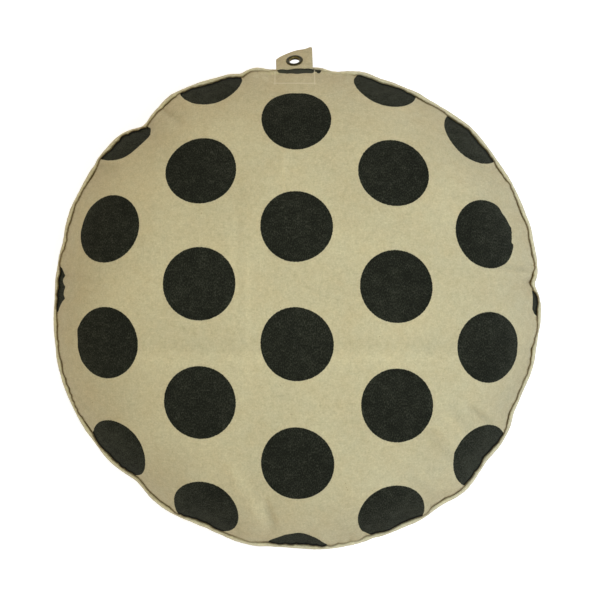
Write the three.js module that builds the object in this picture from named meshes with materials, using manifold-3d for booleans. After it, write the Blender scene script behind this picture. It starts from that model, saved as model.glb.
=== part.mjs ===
// Round floor pouf: two printed canvas panels sewn together round a soft filling, a piped seam at
// their edge, and a folded canvas tab in that seam with one brass eyelet to hang the pouf by.
// Millimetres, +Z up. The origin is the centre of the flat underside, and the tab points along +Y.
import * as THREE from "three";
import { mergeVertices } from "three/addons/utils/BufferGeometryUtils.js";
import Module from "manifold-3d";

// Driving sizes
const OUTER_DIAMETER = 600; // over the piping, averaged round the rim
const PIPING_DIAMETER = 5.2;
const SEAM_HEIGHT = 105; // of the piped seam above the floor
const CROWN_RISE = 133; // of the crown's middle above the seam
const FLAT_RADIUS = 160; // of the underside that lies flat on the floor
const CROWN_FULLNESS = 2.5; // 2 would be an ellipse, more is fuller towards the rim
const SIDE_FULLNESS = 2.2; // the same for the side below the seam
const CLEARANCE = 0.35; // between neighbouring pieces

// The seam draws the cloth in by this much, and lets go of it within this distance.
const SEAM_PULL = 1.5;
const SEAM_REACH = 6;

// Slow swellings of the rim: how many lobes, how far they stand out, and where one crests.
const SWELLINGS = [
  { lobes: 1, swell: 2.5, crestAt: 132 },
  { lobes: 2, swell: 1.2, crestAt: 168 },
  { lobes: 3, swell: 1.6, crestAt: 45 },
];

// Bulges and folds of the rim: the angle, how far the rim is pushed out there, half the angle that
// the fold takes up, and how far it runs from the seam over the crown and down the side.
const FOLDS = [
  { at: 6, push: -7, spread: 3.2, runUp: 70, runDown: 60 },
  { at: 25, push: 1.5, spread: 8, runUp: 60, runDown: 50 },
  { at: 45, push: 5, spread: 10, runUp: 60, runDown: 50 },
  { at: 74, push: 2.5, spread: 3.5, runUp: 40, runDown: 40 },
  { at: 81, push: -6, spread: 5, runUp: 45, runDown: 60 },
  { at: 93, push: -4.6, spread: 6.5, runUp: 40, runDown: 40 },
  { at: 119, push: 3.5, spread: 5, runUp: 50, runDown: 40 },
  { at: 130.5, push: -10, spread: 3.4, runUp: 55, runDown: 45 },
  { at: 141, push: 3, spread: 10, runUp: 60, runDown: 50 },
  { at: 174, push: -5.2, spread: 9, runUp: 50, runDown: 60 },
  { at: 198, push: 3, spread: 9, runUp: 50, runDown: 50 },
  { at: 227, push: -6, spread: 4.5, runUp: 50, runDown: 35 },
  { at: 247, push: -4.5, spread: 6, runUp: 60, runDown: 50 },
  { at: 268, push: -4, spread: 5, runUp: 50, runDown: 50 },
  { at: 312, push: 6, spread: 4.5, runUp: 60, runDown: 50 },
  { at: 326, push: 2.5, spread: 3.5, runUp: 50, runDown: 50 },
  { at: 337, push: -5, spread: 6, runUp: 60, runDown: 60 },
];

// Puckers that the gathered edge throws up beside the seam, none on the seam itself.
const PUCKERS = [
  { count: 41, height: 0.9, startAt: 3 },
  { count: 29, height: 0.8, startAt: 17 },
];
const PUCKER_REACH = 16;

// The tab is a strip folded in half, with its fold at the free end.
const TAB = {
  centreX: -4,
  width: 45,
  clothThickness: 0.8,
  layerGap: 0.3,
  rootAngle: 14, // how far back over the piping it starts
  length: 35, // from where it leaves the piping to its fold
  droopLeft: 66, // below level, at its left edge as seen from above
  droopMiddle: 50,
  droopRight: 41,
  curl: 13, // further droop at the fold
};

// The eyelet and the washer that it is set in.
const EYELET = {
  fromPiping: 12.2, // from where the tab leaves the piping to the eyelet's axis
  holeRadius: 6.45,
  barrelWall: 0.55,
  rimRadius: 10.2,
  flangeRise: 1.1,
  washerRadius: 9,
  washerThickness: 0.8,
};

// How finely the solids are faceted.
const ROUND_STEPS = 144;
const CROWN_STEPS = 17;
const SIDE_STEPS = 12;
const PIPING_SIDES = 10;
const TAB_STEPS_ACROSS = 12;
const TAB_STEPS_ROUND = 6;
const TAB_STEPS_FREE = 9;
const EYELET_STEPS = 32;

const PIPING_RADIUS = PIPING_DIAMETER / 2;
const RIM_RADIUS = OUTER_DIAMETER / 2 - PIPING_DIAMETER - CLEARANCE + SEAM_PULL;
const TAB_HALF_THICKNESS = TAB.clothThickness + TAB.layerGap / 2;
const RIDE_RADIUS = PIPING_RADIUS + CLEARANCE + TAB_HALF_THICKNESS; // of the tab round the piping

const radians = THREE.MathUtils.degToRad;
const bell = (x) => Math.exp(-x * x);
const smooth = (x) => THREE.MathUtils.smoothstep(x, 0, 1);

// The signed turn from one angle to another, in degrees, the short way round.
function turn(from, to) {
  return THREE.MathUtils.euclideanModulo(to - from + 180, 360) - 180;
}

function swelling(angle) {
  return SWELLINGS.reduce(
    (sum, s) => sum + s.swell * Math.cos(radians(s.lobes * (angle - s.crestAt))),
    0,
  );
}

function folding(angle, fromSeam, run) {
  return FOLDS.reduce(
    (sum, f) => sum + f.push * bell(turn(f.at, angle) / f.spread) * bell(fromSeam / f[run]),
    0,
  );
}

function puckering(angle, fromSeam) {
  const fade = (fromSeam / PUCKER_REACH) * Math.exp(1 - fromSeam / PUCKER_REACH);
  return PUCKERS.reduce(
    (sum, p) => sum + p.height * fade * Math.cos(radians(p.count * (angle - p.startAt))),
    0,
  );
}

// A point of the cover. sweep runs from 0 at the middle of the panel to 90 at the seam. The plain
// form is a superellipse between an inner radius and the rim, and folds push it along its normal.
function coverPoint(angle, sweep, { inner, rise, fullness, up, run }) {
  const width = RIM_RADIUS - inner;
  const out = Math.sin(radians(sweep)) ** (2 / fullness);
  const level = Math.max(0, Math.cos(radians(sweep)));
  const fromSeam = Math.hypot((1 - out) * width, level * rise);
  const normalOut = (fullness * out ** (fullness - 1)) / width;
  const normalUp = (2 * level) / rise;
  const normalLength = Math.hypot(normalOut, normalUp);
  const push =
    folding(angle, fromSeam, run) +
    puckering(angle, fromSeam) -
    SEAM_PULL * bell(fromSeam / SEAM_REACH);
  const r = inner + out * (width + swelling(angle)) + (push * normalOut) / normalLength;
  const z = SEAM_HEIGHT + up * (level * rise + (push * normalUp) / normalLength);
  const a = radians(angle);
  return new THREE.Vector3(r * Math.cos(a), r * Math.sin(a), z);
}

const CROWN = { inner: 0, rise: CROWN_RISE, fullness: CROWN_FULLNESS, up: 1, run: "runUp" };
const SIDE = {
  inner: FLAT_RADIUS,
  rise: SEAM_HEIGHT,
  fullness: SIDE_FULLNESS,
  up: -1,
  run: "runDown",
};

// Sweeps from the middle of a panel to the seam, closer together towards the seam.
function sweeps(steps) {
  const closing = 1.6;
  return Array.from({ length: steps + 1 }, (_, k) => 90 * (1 - (1 - k / steps) ** closing));
}

const around = Array.from({ length: ROUND_STEPS }, (_, k) => (k * 360) / ROUND_STEPS);

// Quads between rings of points that all have the same count. The last ring may join the first.
function bandFaces(rings, count, joined, faces) {
  for (let i = 0; i < (joined ? rings : rings - 1); i++) {
    for (let j = 0; j < count; j++) {
      const a = i * count + j;
      const b = i * count + ((j + 1) % count);
      const c = ((i + 1) % rings) * count + j;
      const d = ((i + 1) % rings) * count + ((j + 1) % count);
      faces.push(a, c, b, b, c, d);
    }
  }
}

// Closes a ring whose points start at an index. flat is its outline on a plane. The faces turn
// the way that the ring runs, or the other way when reversed.
function capFaces(flat, start, reversed, faces) {
  const ringTurns = Math.sign(THREE.ShapeUtils.area(flat)) * (reversed ? -1 : 1);
  for (const [a, b, c] of THREE.ShapeUtils.triangulateShape(flat, [])) {
    const turns = Math.sign(THREE.ShapeUtils.area([flat[a], flat[b], flat[c]]));
    faces.push(start + a, ...(turns === ringTurns ? [start + b, start + c] : [start + c, start + b]));
  }
}

function geometryFrom(points, faces) {
  const flat = points.flatMap((p) => [p.x, p.y, p.z]);
  return new THREE.BufferGeometry()
    .setAttribute("position", new THREE.Float32BufferAttribute(flat, 3))
    .setIndex(faces);
}

// The filled cover, from the middle of the crown over the seam to the flat underside.
function cushionGeometry() {
  const points = [];
  for (const sweep of sweeps(CROWN_STEPS).slice(1)) {
    points.push(...around.map((angle) => coverPoint(angle, sweep, CROWN)));
  }
  for (const sweep of sweeps(SIDE_STEPS).slice(0, -1).reverse()) {
    points.push(...around.map((angle) => coverPoint(angle, sweep, SIDE)));
  }
  const rings = CROWN_STEPS + SIDE_STEPS;
  const underside = (rings - 1) * ROUND_STEPS;
  points.slice(underside).forEach((p) => p.setZ(0));
  const faces = [];
  bandFaces(rings, ROUND_STEPS, false, faces);
  const top = points.push(new THREE.Vector3(0, 0, SEAM_HEIGHT + CROWN_RISE)) - 1;
  around.forEach((_, j) => faces.push(top, j, (j + 1) % ROUND_STEPS));
  const outline = points.slice(underside, underside + ROUND_STEPS);
  const flat = outline.map((p) => new THREE.Vector2(p.x, p.y));
  capFaces(flat, underside, true, faces);
  return geometryFrom(points, faces);
}

// The seam and the level direction that faces away from it, at an angle round the rim.
function seamAt(angle) {
  const step = 0.25;
  const here = coverPoint(angle, 90, CROWN);
  const ahead = coverPoint(angle + step, 90, CROWN);
  const behind = coverPoint(angle - step, 90, CROWN);
  const along = ahead.sub(behind).setZ(0).normalize();
  return { here, outward: new THREE.Vector3(along.y, -along.x, 0) };
}

function pipingCentre(angle) {
  const { here, outward } = seamAt(angle);
  return here.clone().addScaledVector(outward, CLEARANCE + PIPING_RADIUS);
}

// A cord covered in canvas: a round section carried along the seam.
function pipingGeometry() {
  const points = [];
  for (const angle of around) {
    const { outward } = seamAt(angle);
    const centre = pipingCentre(angle);
    for (let k = 0; k < PIPING_SIDES; k++) {
      const a = (k * 2 * Math.PI) / PIPING_SIDES;
      const p = centre.clone().addScaledVector(outward, PIPING_RADIUS * Math.cos(a));
      points.push(p.setZ(p.z + PIPING_RADIUS * Math.sin(a)));
    }
  }
  const faces = [];
  bandFaces(ROUND_STEPS, PIPING_SIDES, true, faces);
  return geometryFrom(points, faces);
}

// The tab's droop, in radians: a parabola through its two edges and its middle. side runs from -1
// at the left edge to 1 at the right.
function droopAt(side) {
  const { droopLeft, droopMiddle, droopRight } = TAB;
  const slope = (droopRight - droopLeft) / 2;
  const bend = (droopRight + droopLeft) / 2 - droopMiddle;
  return radians(droopMiddle + slope * side + bend * side ** 2);
}

// The piping's centre under the point of the tab that lies this far to the right of its middle.
function pipingUnder(offset) {
  const x = TAB.centreX + offset;
  let angle = 90;
  for (let pass = 0; pass < 6; pass++) {
    const p = pipingCentre(angle);
    angle += THREE.MathUtils.radToDeg((p.x - x) / p.y);
  }
  return pipingCentre(angle);
}

// A point of the tab's middle layer. run is the distance along the cloth from where that line of
// the tab leaves the piping: before it, the line lies round the piping, and after it, it slopes
// down by its droop and curls a little towards the fold.
function tabPoint(side, run) {
  const droop = droopAt(side);
  const curl = radians(TAB.curl);
  const lean = droop + Math.min(run, 0) / RIDE_RADIUS;
  const point = pipingUnder((side * TAB.width) / 2);
  point.y += RIDE_RADIUS * Math.sin(lean);
  point.z += RIDE_RADIUS * Math.cos(lean);
  const steps = Math.ceil(Math.max(run, 0));
  for (let k = 0; k < steps; k++) {
    const slope = droop + curl * smooth((2 * run * (k + 0.5)) / steps / TAB.length - 1);
    point.y += (Math.cos(slope) * run) / steps;
    point.z -= (Math.sin(slope) * run) / steps;
  }
  return point;
}

// How much of that line lies round the piping.
function wrapLength(side) {
  return (droopAt(side) + radians(TAB.rootAngle)) * RIDE_RADIUS;
}

// The eyelet's centre on the tab's middle layer and the way that its axis points.
function eyeletSeat() {
  const step = 0.02;
  const at = (side, run) => tabPoint(side, EYELET.fromPiping + run);
  const across = at(step, 0).sub(at(-step, 0));
  const along = at(0, 1).sub(at(0, -1));
  return { centre: at(0, 0), axis: across.cross(along).normalize() };
}

const seat = eyeletSeat();

// Under the eyelet's rim the tab is clamped flat, in the plane of the eyelet.
function clampFlat(point, run) {
  const flatTo = EYELET.rimRadius + 1;
  const fadeOver = 6;
  const lowerRim = EYELET.fromPiping - EYELET.rimRadius;
  const away = point.distanceTo(seat.centre);
  const share = (1 - smooth((away - flatTo) / fadeOver)) * smooth(run / lowerRim);
  const off = point.clone().sub(seat.centre).dot(seat.axis);
  return point.addScaledVector(seat.axis, -off * share);
}

// One line of the tab from its root over the piping to its fold.
function tabLine(side) {
  const wrap = wrapLength(side);
  const line = [];
  for (let k = TAB_STEPS_ROUND; k > 0; k--) line.push(tabPoint(side, (-wrap * k) / TAB_STEPS_ROUND));
  for (let k = 0; k <= TAB_STEPS_FREE; k++) {
    const run = (TAB.length * k) / TAB_STEPS_FREE;
    line.push(clampFlat(tabPoint(side, run), run));
  }
  return line;
}

// The folded strip as one back-and-forth section of two layers, carried across the tab's width.
function tabGeometry() {
  const sides = Array.from(
    { length: TAB_STEPS_ACROSS + 1 },
    (_, k) => (2 * k) / TAB_STEPS_ACROSS - 1,
  );
  const sheet = sides.map(tabLine);
  const last = TAB_STEPS_ROUND + TAB_STEPS_FREE;
  const clamp = THREE.MathUtils.clamp;
  const at = (i, j) => sheet[clamp(i, 0, TAB_STEPS_ACROSS)][clamp(j, 0, last)];
  const points = [];
  const outer = TAB_HALF_THICKNESS;
  const inner = TAB.layerGap / 2;
  const foldSteps = 3;
  const loop = [];
  for (let j = 0; j <= last; j++) loop.push({ j, lift: outer, reach: 0 });
  for (let k = 1; k < foldSteps; k++) {
    const a = (k * Math.PI) / foldSteps;
    loop.push({ j: last, lift: outer * Math.cos(a), reach: outer * Math.sin(a) });
  }
  for (let j = last; j >= 0; j--) loop.push({ j, lift: -outer, reach: 0 });
  for (let j = 0; j <= last; j++) loop.push({ j, lift: -inner, reach: 0 });
  for (let j = last; j >= 0; j--) loop.push({ j, lift: inner, reach: 0 });
  sheet.forEach((line, i) => {
    for (const { j, lift, reach } of loop) {
      const across = at(i + 1, j).clone().sub(at(i - 1, j)).normalize();
      const along = at(i, j + 1).clone().sub(at(i, j - 1)).normalize();
      const normal = across.clone().cross(along).normalize();
      points.push(line[j].clone().addScaledVector(normal, lift).addScaledVector(along, reach));
    }
  });
  const faces = [];
  bandFaces(sheet.length, loop.length, false, faces);
  for (const start of [0, points.length - loop.length]) {
    const edge = points.slice(start, start + loop.length);
    capFaces(edge.map((p) => new THREE.Vector2(p.y, p.z)), start, start > 0, faces);
  }
  return geometryFrom(points, faces);
}

const wasm = await Module();
wasm.setup();

function solidFrom(geometry) {
  const bare = geometry.clone();
  bare.deleteAttribute("normal");
  bare.deleteAttribute("uv");
  const merged = mergeVertices(bare, 1e-4);
  return new wasm.Manifold(
    new wasm.Mesh({
      numProp: 3,
      vertProperties: new Float32Array(merged.attributes.position.array),
      triVerts: new Uint32Array(merged.index.array),
    }),
  );
}

function geometryOf(solid) {
  const mesh = solid.getMesh();
  return new THREE.BufferGeometry()
    .setAttribute("position", new THREE.BufferAttribute(mesh.vertProperties, 3))
    .setIndex(new THREE.BufferAttribute(mesh.triVerts, 1));
}

const toSeat = new THREE.Quaternion().setFromUnitVectors(new THREE.Vector3(0, 1, 0), seat.axis);
const BARREL_RADIUS = EYELET.holeRadius + EYELET.barrelWall;

function punchedTabGeometry() {
  const punch = new THREE.CylinderGeometry(
    BARREL_RADIUS + CLEARANCE,
    BARREL_RADIUS + CLEARANCE,
    6 * TAB_HALF_THICKNESS,
    EYELET_STEPS,
  );
  punch.applyQuaternion(toSeat).translate(seat.centre.x, seat.centre.y, seat.centre.z);
  return geometryOf(solidFrom(tabGeometry()).subtract(solidFrom(punch)));
}

// The eyelet: a domed rim on the tab's face and a barrel through both layers and the washer.
function eyeletGeometry() {
  const face = TAB_HALF_THICKNESS + CLEARANCE;
  const back = -face - EYELET.washerThickness;
  const { holeRadius, rimRadius, flangeRise } = EYELET;
  const middle = (BARREL_RADIUS + rimRadius) / 2;
  const profile = [
    [BARREL_RADIUS, back],
    [BARREL_RADIUS, face],
    [rimRadius - 0.3, face],
    [rimRadius, face + 0.4 * flangeRise],
    [middle + 1, face + flangeRise],
    [middle - 1, face + flangeRise],
    [holeRadius, face + 0.4 * flangeRise],
    [holeRadius, back],
    [BARREL_RADIUS, back],
  ].map(([r, y]) => new THREE.Vector2(r, y));
  return new THREE.LatheGeometry(profile, EYELET_STEPS);
}

function washerGeometry() {
  const face = -TAB_HALF_THICKNESS - CLEARANCE;
  const inner = BARREL_RADIUS + CLEARANCE;
  const profile = [
    [inner, face - EYELET.washerThickness],
    [EYELET.washerRadius - 0.4, face - EYELET.washerThickness],
    [EYELET.washerRadius, face - EYELET.washerThickness / 2],
    [EYELET.washerRadius, face],
    [inner, face],
    [inner, face - EYELET.washerThickness],
  ].map(([r, y]) => new THREE.Vector2(r, y));
  return new THREE.LatheGeometry(profile, EYELET_STEPS);
}

const canvas = new THREE.MeshStandardMaterial({ color: 0xbdb28d, roughness: 0.95, metalness: 0 });
const plainCanvas = new THREE.MeshStandardMaterial({ color: 0xc6bc9a, roughness: 0.95, metalness: 0 });
const oldBrass = new THREE.MeshStandardMaterial({ color: 0x5d4a2a, roughness: 0.4, metalness: 1 });

function piece(name, geometry, material) {
  const mesh = new THREE.Mesh(geometry, material);
  mesh.name = name;
  return mesh;
}

const pouf = new THREE.Group();
pouf.add(piece("cushion", cushionGeometry(), canvas));
pouf.add(piece("piping", pipingGeometry(), plainCanvas));
pouf.add(piece("tab", punchedTabGeometry(), plainCanvas));

const eyeletGroup = new THREE.Group();
eyeletGroup.position.copy(seat.centre);
eyeletGroup.quaternion.copy(toSeat);
eyeletGroup.add(piece("eyelet", eyeletGeometry(), oldBrass));
eyeletGroup.add(piece("washer", washerGeometry(), oldBrass));
pouf.add(eyeletGroup);

export default pouf;
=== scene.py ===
import math

import bpy
import numpy as np
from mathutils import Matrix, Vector


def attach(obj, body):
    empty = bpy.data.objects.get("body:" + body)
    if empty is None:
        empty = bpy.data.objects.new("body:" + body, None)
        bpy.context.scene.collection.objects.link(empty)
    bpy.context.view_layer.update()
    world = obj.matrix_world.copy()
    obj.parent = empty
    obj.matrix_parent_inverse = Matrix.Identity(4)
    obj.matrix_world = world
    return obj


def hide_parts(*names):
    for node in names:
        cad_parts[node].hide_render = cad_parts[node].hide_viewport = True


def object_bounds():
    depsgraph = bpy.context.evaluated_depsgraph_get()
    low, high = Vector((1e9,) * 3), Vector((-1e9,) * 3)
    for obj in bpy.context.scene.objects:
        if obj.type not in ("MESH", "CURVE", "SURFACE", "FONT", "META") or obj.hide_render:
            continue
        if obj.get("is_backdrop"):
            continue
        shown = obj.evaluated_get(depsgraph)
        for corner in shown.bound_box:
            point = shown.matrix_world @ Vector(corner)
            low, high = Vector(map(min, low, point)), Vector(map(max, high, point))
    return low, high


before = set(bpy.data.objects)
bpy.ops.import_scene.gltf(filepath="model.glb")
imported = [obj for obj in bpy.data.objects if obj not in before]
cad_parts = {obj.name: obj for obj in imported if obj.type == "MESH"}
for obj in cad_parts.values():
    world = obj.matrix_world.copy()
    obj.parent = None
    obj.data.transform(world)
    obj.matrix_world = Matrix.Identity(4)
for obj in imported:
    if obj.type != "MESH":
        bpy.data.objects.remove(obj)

# A round floor pouf in dotted canvas: its cover, the piping round its seam, its folded tab and the
# eyelet in it. Lengths are in millimetres and angles in degrees until a mesh is made.
CAD_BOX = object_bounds()
MM = 0.001

# Driving sizes, the same as the frame's
OUTER_DIAMETER = 600
PIPING_DIAMETER = 5.2
SEAM_HEIGHT = 105
CROWN_RISE = 133
FLAT_RADIUS = 160
CROWN_FULLNESS = 2.5
SIDE_FULLNESS = 2.2
CLEARANCE = 0.35
SEAM_PULL = 1.5
SEAM_REACH = 6
PIPING_RADIUS = PIPING_DIAMETER / 2
RIM_RADIUS = OUTER_DIAMETER / 2 - PIPING_DIAMETER - CLEARANCE + SEAM_PULL

# Slow swellings of the rim: lobes, how far they stand out, where one crests
SWELLINGS = ((1, 2.5, 132), (2, 1.2, 168), (3, 1.6, 45))

# Bulges and folds of the rim: angle, push, half angle, run over the crown, run down the side
FOLDS = (
    (6, -7, 3.2, 70, 60),
    (25, 1.5, 8, 60, 50),
    (45, 5, 10, 60, 50),
    (74, 2.5, 3.5, 40, 40),
    (81, -6, 5, 45, 60),
    (93, -4.6, 6.5, 40, 40),
    (119, 3.5, 5, 50, 40),
    (130.5, -10, 3.4, 55, 45),
    (141, 3, 10, 60, 50),
    (174, -5.2, 9, 50, 60),
    (198, 3, 9, 50, 50),
    (227, -6, 4.5, 50, 35),
    (247, -4.5, 6, 60, 50),
    (268, -4, 5, 50, 50),
    (312, 6, 4.5, 60, 50),
    (326, 2.5, 3.5, 50, 50),
    (337, -5, 6, 60, 60),
)

# Slighter bulges and folds that the frame leaves out, in the same terms
FINE_FOLDS = (
    (8, 2, 1.5, 30, 30),
    (30, 2, 6, 40, 40),
    (46, 0.8, 3, 40, 40),
    (61, 1.2, 2, 40, 40),
    (71.5, -2, 3, 40, 40),
    (78.5, 1.2, 2, 30, 30),
    (84.5, 0.9, 2, 30, 30),
    (96, -1.1, 1.5, 30, 30),
    (98, -0.8, 1.5, 30, 30),
    (100, 1.8, 2, 30, 30),
    (104, -2.8, 1.6, 30, 30),
    (113, 1.2, 3, 40, 40),
    (121, 1, 2, 40, 40),
    (126, -1.2, 1.5, 30, 30),
    (137, 1, 6, 40, 40),
    (164, -2.4, 3, 40, 40),
    (173.5, 1.5, 3, 40, 40),
    (190, -1.3, 6, 40, 40),
    (209, 1.8, 5, 40, 40),
    (245.5, 1, 1.5, 30, 30),
    (263, -1.2, 2.5, 40, 40),
    (288, -1.3, 2, 40, 40),
    (300, 1.3, 3.5, 40, 40),
    (315.5, 1, 2, 40, 40),
    (330.5, 2, 2.5, 40, 40),
    (337, 1.3, 3, 40, 40),
    (351, -1.4, 3, 40, 40),
    (19.5, 1.4, 2.5, 40, 40),
    (28.5, -0.6, 2, 40, 40),
    (131, 0.8, 2.5, 40, 40),
    (144.5, 1.2, 2, 40, 40),
    (156, 0.8, 2, 40, 40),
    (192, 0.9, 2, 40, 40),
    (217.5, 1.2, 3, 40, 40),
    (249, 0.8, 1.5, 40, 40),
    (268.5, 0.9, 3, 40, 40),
    (300.5, 0.8, 4, 40, 40),
    (318, 1, 2, 40, 40),
    (340, 0.5, 6, 40, 40),
    (354, -0.8, 1.5, 40, 40),
)

# Creases of the crown, seen from above: from x, y to x, y, height, half width
CREASES = (
    (-277, -52, 278, -54, -0.5, 9),
    (-17, 197, -17, 145, 0.4, 3),
    (-73, 190, -72, -25, -0.3, 3.5),
    (-60, 70, -62, -112, 0.3, 3.5),
    (-90, -180, -36, -280, 2.4, 9),
    (-44, -230, -26, -280, -2, 5),
    (203, -114, 243, -147, -2, 4),
    (152, -140, 200, -186, -1.8, 5),
    (172, -114, 210, -158, 1.5, 6),
    (130, -194, 176, -232, -1.6, 6),
    (230, 52, 290, 43, -2, 3),
    (-172, 246, -138, 224, -1.8, 4),
    (-252, 172, -214, 164, -1.8, 6),
    (170, 186, 240, 160, -1.6, 8),
    (176, 158, 236, 136, 1.4, 8),
)

# Painted shade and light of the storage folds, with some toning of the cloth, in the same terms: from x,
# y to x, y, half width, how much darker its left side is than its right (one flank painted in shade, the
# other in light), how much darker its middle is
SHADED_FOLDS = (
    (-277, -52, 278, -54, 9, 1.1, 0),
    (-17, 197, -17, 145, 2.5, 0, -1.4),
    (-73, 190, -72, -25, 4.5, 0.5, 0.7),
    (-60, 70, -62, -112, 4.5, 0, -1.1),
    (-92, -176, -40, -278, 8, 0, -1.8),
    (-56, -226, -36, -282, 8, 0, -1.8),
    (-40, -236, -27, -276, 4.5, 0, 3),
    (-77, -258, -71, -282, 4.5, 0, 2.2),
    (203, -115, 243, -147, 4.5, 0, 3),
    (152, -140, 200, -186, 6, -1.4, 0.6),
    (172, -114, 210, -158, 6, 1.4, 0),
    (130, -194, 176, -232, 6, -1.4, 0.6),
    (230, 51, 290, 43, 3.5, 1.4, 2),
    (-172, 246, -138, 224, 4.5, 0.5, 2),
    (-250, 176, -216, 168, 7, 0, 2.2),
    (170, 186, 240, 160, 8, 0.7, 0.5),
    (176, 150, 240, 132, 7, -0.7, 0),
)

# Puckers beside the seam: how many round the rim, height, where one crests
PUCKERS = ((41, 0.9, 3), (29, 0.8, 17))
PUCKER_REACH = 16

# How deep the gathered edge lies slack on the crown and on the side, and how far from the seam
CROWN_SLACK = 4
SIDE_SLACK = 3
SLACK_AT = 45

# Fine gathers: how many round the rim, height, how far from the seam they crest. Their spacing
# strays, their strength has a mean and a chance part, and the level is a ridge's mean height.
GATHERS = ((123, 1.1, 9), (57, 1.1, 16))
GATHER_STRAY = 1.6
GATHER_STRENGTH = (0.75, 0.45)
GATHER_LEVEL = 0.67

# The cover puffs out over the piping just above the seam: its mean and chance push, the share of it
# below the seam, how far from the seam it stands out most, and where it does so more or less: angle,
# push, half angle
PUFF = 0.85
PUFF_CHANCE = 0.13
PUFF_BELOW = 0.6
PUFF_AT = 9
PUFF_PLACES = (
    (0.5, 1.4, 3),
    (10, 2.2, 0.9),
    (12.8, -0.9, 1.5),
    (20.5, -0.8, 2),
    (30, -0.5, 2),
    (56, -0.9, 3),
    (79.5, 1.5, 2.6),
    (84.5, 2.2, 2.4),
    (87.5, 2.9, 2),
    (91, 1.6, 2.4),
    (94.8, 4, 2),
    (97.6, 2, 2),
    (102, -0.6, 2),
    (126, -0.5, 2.5),
    (131.6, 3, 2.4),
    (136, 0.8, 2),
    (153, -0.4, 3),
    (168, 0.9, 2),
    (174.5, 2.6, 4.5),
    (183, 0.9, 2),
    (230, -0.9, 3),
    (255, -0.7, 2),
    (258.5, 0.8, 1.5),
    (282, 0.6, 2),
    (303, -0.5, 2),
    (312, -1, 3),
    (336.5, -0.7, 3),
    (349, -0.5, 3),
    (357, 0.4, 2),
)

# Sharp nips of the cover: angle, depth, half angle, how far from the seam they are deepest
NIPS = (
    (6.4, 3.2, 1.3, 10),
    (130.3, 1, 1.2, 10),
    (172, 2.4, 0.8, 25),
    (174.8, 2.2, 1, 25),
    (177.7, 3, 0.9, 25),
)

ROUND_STEPS = 1440


def bell(x):
    """A smooth bump, 1 at x = 0 and gone by 2."""
    return np.exp(-(x**2))


def smooth(x):
    """0 below 0, 1 above 1 and an even ease between."""
    x = np.clip(x, 0, 1)
    return x * x * (3 - 2 * x)


def turn(start, end):
    """The signed turn between two angles, the short way round."""
    return (end - start + 180) % 360 - 180


def crest(x):
    """0 at x = 0, 1 at x = 1, then fading out."""
    return x * np.exp(1 - x)


def ripple(angle, low, high, seed):
    """Even noise round the rim: equal cosines of every count from low to high, at chance phases."""
    counts = np.arange(low, high + 1)
    phases = np.random.default_rng(seed).uniform(0, 2 * np.pi, len(counts))
    waves = np.cos(np.radians(np.asarray(angle)[..., None] * counts) + phases)
    return waves.sum(-1) / np.sqrt(len(counts) / 2)


class Panel:
    """One half of the cover: a superellipse from an inner radius at its middle to the seam."""

    def __init__(self, inner, rise, fullness, up, slack):
        self.inner = inner
        self.rise = rise
        self.fullness = fullness
        self.up = up
        self.slack = slack
        self.width = RIM_RADIUS - inner
        self.measure()

    def profile(self, sweep):
        """Shares of the width and rise at a sweep from 0, the middle, to 90, the seam."""
        out = np.sin(np.radians(sweep)) ** (2 / self.fullness)
        level = np.clip(np.cos(np.radians(sweep)), 0, None)
        return out, level

    def lean(self, out, level):
        """The cover's normal, as its shares outward and upward."""
        outward = self.fullness * out ** (self.fullness - 1) / self.width
        upward = 2 * level / self.rise
        length = np.hypot(outward, upward)
        return outward / length, upward / length

    def drawn_in(self, from_seam):
        """The pull of the seam itself and of the slack gathers beside it."""
        pull = SEAM_PULL * bell(from_seam / SEAM_REACH)
        x = from_seam / SLACK_AT
        return -pull - self.slack * x * np.exp((1 - x**2) / 2)

    def from_seam(self, out, level):
        """The straight distance from the seam in the plain profile."""
        return np.hypot((1 - out) * self.width, level * self.rise)

    def measure(self):
        """Tables of the plain profile, finer at the seam: radius and sweep at each length of cloth."""
        self.sweeps = 90 * (1 - (1 - np.linspace(0, 1, 4001)) ** 1.6)
        out, level = self.profile(self.sweeps)
        outward, upward = self.lean(out, level)
        push = self.drawn_in(self.from_seam(out, level))
        radius = self.inner + out * self.width + push * outward
        height = level * self.rise + push * upward
        steps = np.hypot(np.diff(radius), np.diff(height))
        self.lengths = self.inner + np.concatenate([[0], np.cumsum(steps)])
        self.radii = radius
        self.length = self.lengths[-1]

    def sweep_at(self, length):
        """The sweep at a length of cloth from the pole."""
        return np.interp(length, self.lengths, self.sweeps)

    def plain_radius(self, length):
        """The plan radius at a length of cloth from the pole, without folds."""
        return np.interp(length, self.lengths, self.radii)

    def points(self, angle, length):
        """Points of the cover at an angle and a length of cloth from the pole."""
        sweep = self.sweep_at(length)
        out, level = self.profile(sweep)
        outward, upward = self.lean(out, level)
        away = self.from_seam(out, level)
        push = folding(angle, away, self.up) + puckering(angle, away) + self.drawn_in(away)
        push = push + gathering(angle, away, self.up) + puffing(angle, away, self.up)
        if self.up > 0:
            plan = out * self.width
            push = push + creasing(plan * np.cos(np.radians(angle)), plan * np.sin(np.radians(angle)))
        radius = self.inner + out * (self.width + swelling(angle)) + push * outward
        height = SEAM_HEIGHT + self.up * (level * self.rise + push * upward)
        flat = np.minimum(length, self.inner)
        inside = length < self.inner
        radius = np.where(inside, flat, radius)
        height = np.where(inside, SEAM_HEIGHT - self.rise, height) if self.up < 0 else height
        turned = np.radians(angle)
        return np.stack([radius * np.cos(turned), radius * np.sin(turned), height], -1)


def swelling(angle):
    """The slow waves of the rim: a cosine for each count of lobes."""
    return sum(swell * np.cos(np.radians(lobes * (angle - at))) for lobes, swell, at in SWELLINGS)


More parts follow.
